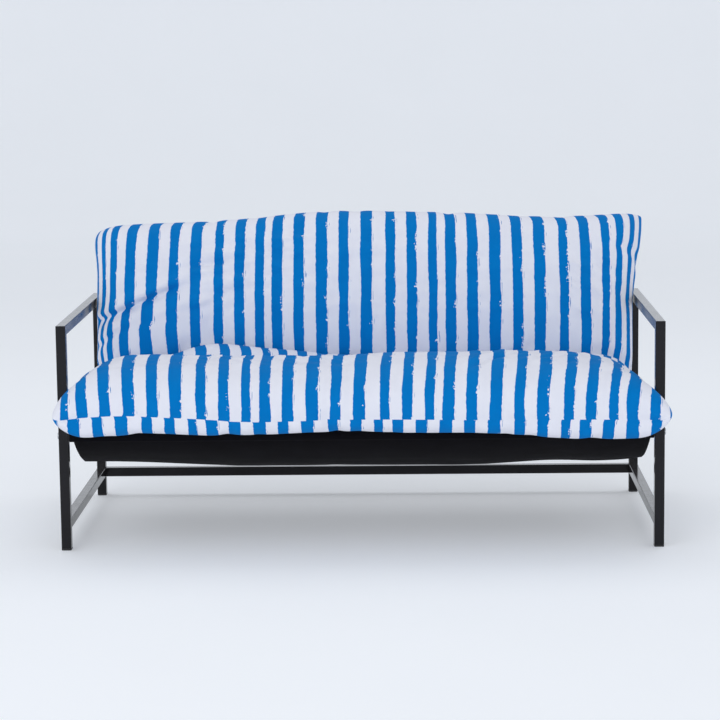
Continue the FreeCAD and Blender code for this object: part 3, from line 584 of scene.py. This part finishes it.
# Shallow wrinkles: (x from, x to), (from, to) up the back or along the seat, depth, slope.
BACK_WRINKLES = (
    ((-0.50, -0.10), (0.58, 0.80), 0.0095, 0.12),
    ((-0.66, -0.30), (0.52, 0.64), 0.0070, 0.45),
    ((0.52, 0.72), (0.52, 0.76), 0.0080, -0.5),
    ((-0.70, 0.70), (0.50, 0.80), 0.0030, 0.1),
)
SEAT_WRINKLES = (
    ((0.24, 0.62), (-0.06, 0.30), 0.0085, 0.9),
    ((-0.45, 0.05), (-0.04, 0.22), 0.0060, -0.7),
    ((-0.72, 0.72), (-0.10, 0.36), 0.0025, 0.3),
)
WRINKLE_LENGTH, WRINKLE_WIDTH = 0.13, 0.028
PATCH_EDGE = 0.06


def within(value, span):
    """1 inside a span, and less towards its ends."""
    low, high = span
    return smooth_step(low, low + PATCH_EDGE, value) * smooth_step(high, high - PATCH_EDGE, value)


def ruffle(xs, levels, wrinkles):
    """How far each point stands out of the cloth in patches of shallow wrinkles."""
    out = np.zeros(len(xs))
    for seed, (x_span, span, depth, slope) in enumerate(wrinkles):
        inside = within(xs, x_span) * within(levels, span)
        for k in np.flatnonzero(inside > 0.01):
            x, level = xs[k], levels[k]
            lengthways, across = x + slope * level, level - slope * x
            spot = Vector((lengthways / WRINKLE_LENGTH, across / WRINKLE_WIDTH, seed))
            out[k] += depth * inside[k] * noise.fractal(spot, 1.0, 2.0, 2)
    return out


def crease_offsets(co):
    """For each crease: height above its line and 0..1 along it, per vertex, and its sizes."""
    for line, depth, above, below, shift in CREASES:
        first, last = line[0][0], line[-1][0]
        tilt = math.hypot(1, (line[-1][1] - line[0][1]) / (last - first))
        off = (co[:, 2] - along(line, co[:, 0])) / tilt
        fade = 0.6 + 0.4 * smooth_step(first + 0.05, first + 0.11, co[:, 0])
        fade = fade * smooth_step(first, first + 0.04, co[:, 0])
        fade = fade * (1 - smooth_step(last - CREASE_END, last, co[:, 0]))
        yield off, fade, depth, above, below, shift


def press_creases(obj):
    """Creases and shallow wrinkles, moved in the mesh itself, and the print's step at creases."""
    mesh = obj.data
    co = vertex_array(mesh)
    normals = np.zeros(len(co) * 3, np.float32)
    mesh.vertex_normals.foreach_get("vector", normals)
    normals = normals.reshape(-1, 3).astype(float)
    facing = smooth_step(0.1, 0.5, -normals[:, 1]) * smooth_step(0.40, 0.44, co[:, 1] - FRONT)
    deepest = CREASES[0][1]
    leftwards = smooth_step(-0.47, -0.62, co[:, 0]) * facing
    step = np.zeros(len(co))
    for off, fade, depth, above, below, shift in crease_offsets(co):
        drawn = GATHER * depth / deepest * fade * facing * np.exp(-((off / GATHER_REACH) ** 2))
        step += shift * leftwards * smooth_step(0.006, -0.010, off)
        co[:, 2] -= off * drawn
        co[:, 1] -= off * drawn * 0.15
    push = np.zeros(len(co))
    for off, fade, depth, above, below, _ in crease_offsets(co):
        wide = np.where(off > 0, above, below)
        push -= fade * depth * np.exp(-((off / wide) ** 2))
        bulge = np.exp(-(((off - BULGE_AT * above) / (BULGE_WIDTH * above)) ** 2))
        push += fade * depth * BULGE * bulge
    push = (push + ruffle(co[:, 0], co[:, 2], BACK_WRINKLES)) * facing
    upward = smooth_step(0.1, 0.5, normals[:, 2] - 0.6 * normals[:, 1])
    upward = upward * smooth_step(0.42, 0.36, co[:, 1] - FRONT)
    push += ruffle(co[:, 0], co[:, 1] - FRONT, SEAT_WRINKLES) * upward
    co += normals * push[:, None]
    mesh.vertices.foreach_set("co", co.ravel())
    shift_print(mesh, step)
    mesh.update()


def shift_print(mesh, step):
    """Moves the cloth map across by a step per vertex."""
    corners = np.zeros(len(mesh.loops), np.int32)
    mesh.loops.foreach_get("vertex_index", corners)
    layer = mesh.uv_layers["cloth"].data
    uv = np.zeros(len(corners) * 2, np.float32)
    layer.foreach_get("uv", uv)
    uv = uv.reshape(-1, 2)
    uv[:, 0] += step[corners]
    layer.foreach_set("uv", uv.ravel())


SETTLE_FRAMES = 20
WRINKLE_CAP = 0.012
SMOOTHINGS = 24  # passes that take the broad swelling out of the simulated movement
HOLD = 0.10  # how strongly each point is held where it was built


def neighbour_mean(edges, count, values, passes):
    """Values averaged over each vertex's neighbours, that many times."""
    weight = np.bincount(edges.ravel(), minlength=count)[:, None]
    for _ in range(passes):
        total = np.zeros_like(values)
        np.add.at(total, edges[:, 0], values[edges[:, 1]])
        np.add.at(total, edges[:, 1], values[edges[:, 0]])
        values = 0.5 * values + 0.5 * total / weight
    return values


def settle(obj):
    """Wrinkles the cover by simulation: cloth a little too large for its filling, under pressure.

    It is largest at the left of the back and at both ends. Only the wrinkles are kept. The broad
    shape stays as it was built."""
    start = vertex_array(obj.data)
    hold = obj.vertex_groups.new(name="hold")
    hold.add(range(len(start)), HOLD, "REPLACE")
    loose = obj.vertex_groups.new(name="loose")
    for k, (x, _, z) in enumerate(start.tolist()):
        left_back = smooth_step(-0.30, -0.62, x) * smooth_step(0.40, 0.47, z)
        left_back = left_back * smooth_step(0.75, 0.62, z)
        ends = smooth_step(0.62, 0.74, abs(x))
        loose.add([k], float(max(0.8 * left_back, 0.6 * ends)), "REPLACE")
    cloth = obj.modifiers.new("settle", "CLOTH")
    settings = cloth.settings
    settings.quality = 6
    settings.mass = 0.25
    settings.tension_stiffness = settings.compression_stiffness = 18
    settings.shear_stiffness = 8
    settings.bending_stiffness = 0.15
    settings.use_pressure = True
    settings.uniform_pressure_force = 3.0
    settings.vertex_group_mass = "hold"
    settings.vertex_group_shrink = "loose"
    settings.shrink_min, settings.shrink_max = -0.022, -0.07
    settings.effector_weights.gravity = 0
    cloth.collision_settings.use_collision = False
    cloth.point_cache.frame_start, cloth.point_cache.frame_end = 1, SETTLE_FRAMES
    scene = bpy.context.scene
    for frame_number in range(1, SETTLE_FRAMES + 1):
        scene.frame_set(frame_number)
    evaluated = obj.evaluated_get(bpy.context.evaluated_depsgraph_get())
    moved = vertex_array(evaluated.data) - start
    obj.modifiers.clear()
    obj.vertex_groups.clear()
    scene.frame_set(1)
    edges = np.zeros(len(obj.data.edges) * 2, np.int32)
    obj.data.edges.foreach_get("vertices", edges)
    edges = edges.reshape(-1, 2)
    wrinkle = moved - neighbour_mean(edges, len(start), moved, SMOOTHINGS)
    wrinkle = neighbour_mean(edges, len(start), wrinkle, 1)
    size = np.linalg.norm(wrinkle, axis=1, keepdims=True)
    wrinkle *= WRINKLE_CAP * np.tanh(size / WRINKLE_CAP) / np.maximum(size, 1e-9)
    obj.data.vertices.foreach_set("co", (start + wrinkle).ravel())
    obj.data.update()


SLING_CLEAR = 0.0045  # least distance from the canvas's middle to the mattress
STEEPEST = 3.0


def rest_on_sling(obj):
    """Lifts the seat's underside clear of the hung canvas."""
    co = vertex_array(obj.data)
    between = (co[:, 1] > HANG_FRONT) & (co[:, 1] < HANG_REAR)
    over = between & (co[:, 2] < RAIL_FRONT_TOP.z + 0.02)
    x, y = co[over, 0], co[over, 1]
    level = hang_level(x, y)
    slope = np.clip((hang_level(x, y + 0.001) - level) / 0.001, -STEEPEST, STEEPEST)
    co[over, 2] = np.maximum(co[over, 2], level + SLING_CLEAR * np.hypot(1, slope))
    obj.data.vertices.foreach_set("co", co.ravel())
    obj.data.update()


def make_mattress(material):
    panels, places = mattress_grid()
    obj = new_object("mattress", mattress_mesh(panels, places), material)
    settle(obj)
    smooth = obj.modifiers.new("smooth", "SUBSURF")
    smooth.levels = smooth.render_levels = 1
    smooth.uv_smooth = "NONE"
    apply_modifiers(obj)
    press_creases(obj)
    rest_on_sling(obj)
    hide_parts("mattress_seat_cover", "mattress_seat_filling",
                "mattress_back_cover", "mattress_back_filling")
    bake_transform(obj)


# ---- slings ----
TUBE = 0.025  # the frame's square tube
SLEEVE_EASE = 0.0025  # the canvas cuts a rail's corners by this much
BACK_RAIL_FROM, BACK_RAIL_TO = 0.022, 0.445  # up the back, over both of its rails


def strip_mesh(name, path):
    """A sheet through rows of points."""
    rows, columns = len(path), len(path[0])
    starts = [i * columns + j for i in range(rows - 1) for j in range(columns - 1)]
    faces = [(k, k + 1, k + columns + 1, k + columns) for k in starts]
    mesh = bpy.data.meshes.new(name)
    mesh.from_pydata(np.concatenate(path).tolist(), [], faces)
    mesh.polygons.foreach_set("use_smooth", np.ones(len(faces), bool))
    return mesh


def sleeve_path(y0, z0, y1, z1, start, turns):
    """Once round a rail's section: (y, z) points with eased corners.

    Corner 0 is low at the front and corner 1 low at the rear; turns is 1 that way round, or -1."""
    gap = SLING_GAP + CLOTH / 2
    y0, z0, y1, z1 = y0 - gap, z0 - gap, y1 + gap, z1 + gap
    corners = [(y0, z0), (y1, z0), (y1, z1), (y0, z1)]
    order = [np.array(corners[(start + turns * k) % 4]) for k in range(5)]
    points = []
    for a, b in zip(order, order[1:]):
        way = (b - a) / np.linalg.norm(b - a)
        points += [a + SLEEVE_EASE * way, (a + b) / 2, b - SLEEVE_EASE * way]
    return points


def straight_rows(xs, points):
    """One level row across the sofa for each (y, z)."""
    return [np.column_stack([xs, np.tile(p, (len(xs), 1))]) for p in points]


def uneven(spots):
    """Smooth noise about 0 at each spot."""
    return np.array([noise.fractal(Vector(spot), 1.0, 2.0, 3) for spot in spots])


def make_seat_sling(material):
    """Sewn round both rails; it hangs a little narrower, and creased, at its lowest."""
    shares = np.linspace(-1, 1, 141)
    front = sleeve_path(RAIL_FRONT.y, RAIL_FRONT.z, RAIL_FRONT_TOP.y, RAIL_FRONT_TOP.z, 2, 1)
    rear = sleeve_path(RAIL_REAR.y, RAIL_REAR.z, RAIL_REAR_TOP.y, RAIL_REAR_TOP.z, 3, -1)
    path = straight_rows(shares * SLING_HALF, front[:-1])
    for y in np.linspace(HANG_FRONT, HANG_REAR, 61):
        drop = hang_shape(np.array(y))
        half = SLING_HALF + (SLING_REAR_HALF - SLING_HALF) * smooth_step(*SLING_NARROWS, y)
        x = shares * (half - SLING_TAPER * drop)
        fold = uneven([(a * 4.0, y * 19.0, 5.0) for a in x])
        level = hang_level(x, np.full_like(x, y)) - SLING_CREASE * np.clip(fold, -1, 0.6) * drop
        path.append(np.column_stack([x, np.full_like(x, y), level]))
    path += straight_rows(shares * SLING_REAR_HALF, rear[1:])
    obj = new_object("seat_canvas", strip_mesh("seat_canvas", path), material)
    finish_sheet(obj, "seat_sling", "base_frame")


def finish_sheet(obj, node, body):
    """Gives a sheet its thickness and puts it in the place of its CAD node."""
    thick = obj.modifiers.new("thick", "SOLIDIFY")
    thick.thickness, thick.offset = CLOTH * 0.8, 0.0
    apply_modifiers(obj)
    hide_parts(node)
    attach(obj, body)


def make_back_sling(material):
    """Sewn round the back's two rails and stretched, with slight pull marks between them."""
    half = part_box("back_sling")[1].x
    xs = np.linspace(-half, half, 121)
    side = TUBE / 2
    low, high = BACK_RAIL_FROM + TUBE, BACK_RAIL_TO - TUBE  # the space between the rails
    ends = sleeve_path(BACK_RAIL_FROM, -side, low, side, 3, 1)
    tops = sleeve_path(high, -side, BACK_RAIL_TO, side, 3, -1)
    level = side + SLING_GAP + CLOTH / 2
    path = []
    for s, t in [*ends, *((s, level) for s in np.linspace(low, high, 40)), *tops[1:]]:
        y, z = back_point(s, t)
        between = smooth_step(low, low + 0.05, s) * smooth_step(high, high - 0.05, s)
        pull = uneven([(x * 9.0, s * 2.5, 2.0) for x in xs])
        slack = between * (0.0018 + 0.0022 * np.clip(pull, -0.8, 1.0))
        path.append(np.column_stack([xs, y - slack * OFF_BACK[0], z - slack * OFF_BACK[1]]))
    obj = new_object("back_canvas", strip_mesh("back_canvas", path), material)
    finish_sheet(obj, "back_sling", "back_frame")


# ---- studio ----
STAGE_FLAT = 9.0  # radius of the flat floor
STAGE_BEND = 3.0  # radius that its rim curves up on
STAGE_SIDES = 96
GLOW_LOW, GLOW_HIGH = 0.25, 0.9  # light from the paper itself, and above the view's top edge


def make_stage():
    """A pale round floor whose rim curves up into a low backdrop all round."""
    f = Finish("studio_paper", srgb(224, 227, 231), 0.9, Specular_IOR_Level=0.0)
    f.tint(f.noise(f.place(), 1.5, 3.0), srgb(222, 225, 229), srgb(226, 229, 233))
    f.shader.inputs["Emission Color"].default_value = (*srgb(246, 248, 252), 1)
    height = f.add("SeparateXYZ", {"Vector": f.place()}).outputs["Z"]
    f.link(f.spread(height, 1.7, 2.6, GLOW_LOW, GLOW_HIGH), "Emission Strength")
    rings = [(0.01, 0.0), (2.0, 0.0), (5.0, 0.0)]
    rings += [(STAGE_FLAT + STAGE_BEND * math.sin(a), STAGE_BEND - STAGE_BEND * math.cos(a))
              for a in np.linspace(0, math.pi / 2, 13)]
    turns = [k * math.tau / STAGE_SIDES for k in range(STAGE_SIDES)]
    points = [(r * math.cos(a), r * math.sin(a), z) for r, z in rings for a in turns]
    faces = []
    for i in range(len(rings) - 1):
        inner, outer = i * STAGE_SIDES, (i + 1) * STAGE_SIDES
        for k in range(STAGE_SIDES):
            after = (k + 1) % STAGE_SIDES
            faces.append((outer + k, outer + after, inner + after, inner + k))
    faces.append(list(range(STAGE_SIDES)))
    mesh = bpy.data.meshes.new("backdrop")
    mesh.from_pydata(points, [], faces)
    mesh.polygons.foreach_set("use_smooth", np.ones(len(faces), bool))
    new_object("backdrop", mesh, f.material)


def area_light(name, place, target, size, power, color=(1, 1, 1)):
    """A soft panel of that width and height that faces its target and isn't seen itself."""
    light = bpy.data.lights.new(name, "AREA")
    light.shape, light.size, light.size_y = "RECTANGLE", *size
    light.energy, light.color = power, color
    obj = bpy.data.objects.new(name, light)
    obj.location = place
    obj.visible_camera = False
    obj.rotation_euler = (Vector(target) - Vector(place)).to_track_quat("-Z", "Y").to_euler()
    bpy.context.scene.collection.objects.link(obj)


def make_lights():
    area_light("key", (-1.8, -3.4, 3.4), (0, 0, 0.4), (3.0, 2.0), 22, (1.0, 0.99, 0.98))
    area_light("front", (0, -7.6, 2.2), (0, 0, 0.2), (7.0, 1.8), 86)
    area_light("overhead", (0, 1.4, 4.0), (0, 0, 0), (5.0, 2.6), 26)
    world = bpy.data.worlds.new("studio")
    world.use_nodes = True
    back = world.node_tree.nodes["Background"]
    back.inputs["Color"].default_value = (*srgb(243, 247, 253), 1)
    back.inputs["Strength"].default_value = 0.65
    bpy.context.scene.world = world


CAMERA_PLACE = (0.1313, -6.3040, 1.3412)
CAMERA_TURN = (8.1316, 1.2595, 0.6423)  # degrees: down, to the left, and rolled
CAMERA_LENS, CAMERA_SENSOR = 119.455, 36.0  # millimetres


def make_camera():
    pitch, yaw, roll = (math.radians(a) for a in CAMERA_TURN)
    forward = math.cos(pitch)
    ahead = Vector((-math.sin(yaw) * forward, math.cos(yaw) * forward, -math.sin(pitch)))
    level = Vector((math.cos(yaw), math.sin(yaw), 0))
    upright = level.cross(ahead)
    right = math.cos(roll) * level - math.sin(roll) * upright
    up = math.sin(roll) * level + math.cos(roll) * upright
    camera = bpy.data.objects.new("camera", bpy.data.cameras.new("camera"))
    camera.data.lens, camera.data.sensor_width = CAMERA_LENS, CAMERA_SENSOR
    camera.data.clip_end = 60.0
    turn = Matrix((right, up, -ahead)).transposed().to_4x4()
    camera.matrix_world = Matrix.Translation(CAMERA_PLACE) @ turn
    bpy.context.scene.collection.objects.link(camera)
    bpy.context.scene.camera = camera


def finish_nodes(finishes):
    """Each CAD node takes the finish of its material slot."""
    slots = {part["node"]: part["material_slot"] for part in frame["record"]["subparts"]}
    for name, node in frame["nodes"].items():
        node.data.materials.clear()
        node.data.materials.append(finishes[slots[name]])


COVER = striped()
CANVAS = canvas()
FINISHES = {
    "black_tube": powder_coat(),
    "zinc_fasteners": zinc(),
    "black_plastic": moulded("black_plastic", (16, 16, 18), (26, 26, 29), 0.5, 900.0),
    "nylon_bush": moulded("nylon_bush", (205, 203, 194), (226, 224, 216), 0.45, 500.0),
    "black_rubber": moulded("black_rubber", (14, 14, 14), (24, 24, 25), 0.8, 1200.0),
    "black_canvas": CANVAS,
    "striped_cover": COVER,
    "filling": moulded("filling", (232, 232, 228), (246, 246, 244), 0.9, 300.0),
}
make_camera()
make_stage()
make_lights()
finish_nodes(FINISHES)
make_mattress(COVER)
make_seat_sling(CANVAS)
make_back_sling(CANVAS)
bpy.context.scene.view_settings.view_transform = "Standard"
